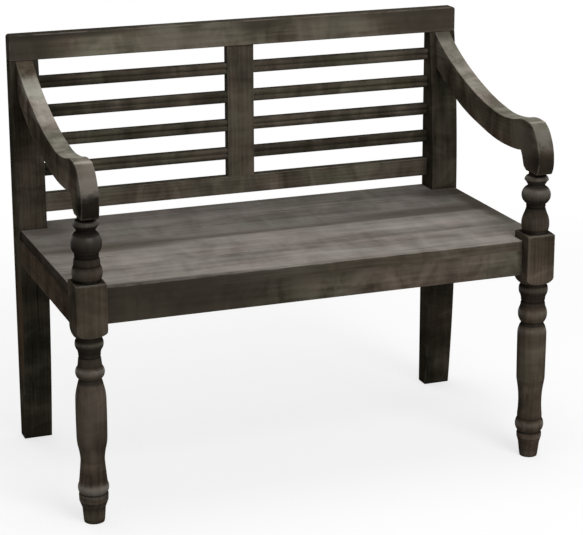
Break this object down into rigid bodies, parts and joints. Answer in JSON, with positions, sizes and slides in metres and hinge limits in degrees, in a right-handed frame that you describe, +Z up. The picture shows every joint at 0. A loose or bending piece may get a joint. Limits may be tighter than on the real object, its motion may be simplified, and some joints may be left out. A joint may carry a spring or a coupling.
{
  "type": "bench",
  "caption": "Wooden bench for sitting, with a slatted back under a plain top rail, scrolled arms, turned front legs, square rear posts and a flat boarded seat.",
  "frame": {"origin": "on the floor, under the middle of the bench's bounding box", "axes": "+X to the right as seen from in front, along the seat; +Y to the back; +Z up"},
  "size_m": [0.98, 0.524, 0.858],
  "materials": {
    "leg_wood": "oiled and waxed, dark, worn at the edges",
    "post_wood": "oiled and waxed, dark",
    "arm_wood": "oiled, the tops worn pale grey by hands",
    "top_rail_wood": "weathered grey brown, matt",
    "rail_wood": "oiled, grey brown, matt",
    "slat_wood": "oiled, grey brown, reeds worn a little",
    "apron_wood": "oiled, grey brown, matt",
    "seat_wood": "weathered pale grey, worn, matt",
    "hidden_wood": "bare, sawn and planed"
  },
  "bodies": {
    "root": {"front_leg_left": "leg_wood", "front_leg_right": "leg_wood", "rear_post_left": "post_wood", "rear_post_right": "post_wood", "arm_left": "arm_wood", "arm_right": "arm_wood", "top_rail": "top_rail_wood", "lower_back_rail": "rail_wood", "centre_mullion": "rail_wood", "back_slat_left_1": "slat_wood", "back_slat_left_2": "slat_wood", "back_slat_left_3": "slat_wood", "back_slat_left_4": "slat_wood", "back_slat_right_1": "slat_wood", "back_slat_right_2": "slat_wood", "back_slat_right_3": "slat_wood", "back_slat_right_4": "slat_wood", "front_apron": "apron_wood", "rear_apron": "apron_wood", "side_apron_left": "apron_wood", "side_apron_right": "apron_wood", "seat_board_1": "seat_wood", "seat_board_2": "seat_wood", "seat_board_3": "seat_wood", "seat_board_4": "seat_wood", "seat_bearer_left": "hidden_wood", "seat_bearer_right": "hidden_wood", "seat_cleat_left": "hidden_wood", "seat_cleat_right": "hidden_wood", "front_corner_brace_left": "hidden_wood", "front_corner_brace_right": "hidden_wood", "rear_corner_brace_left": "hidden_wood", "rear_corner_brace_right": "hidden_wood"}
  },
  "joints": []
}
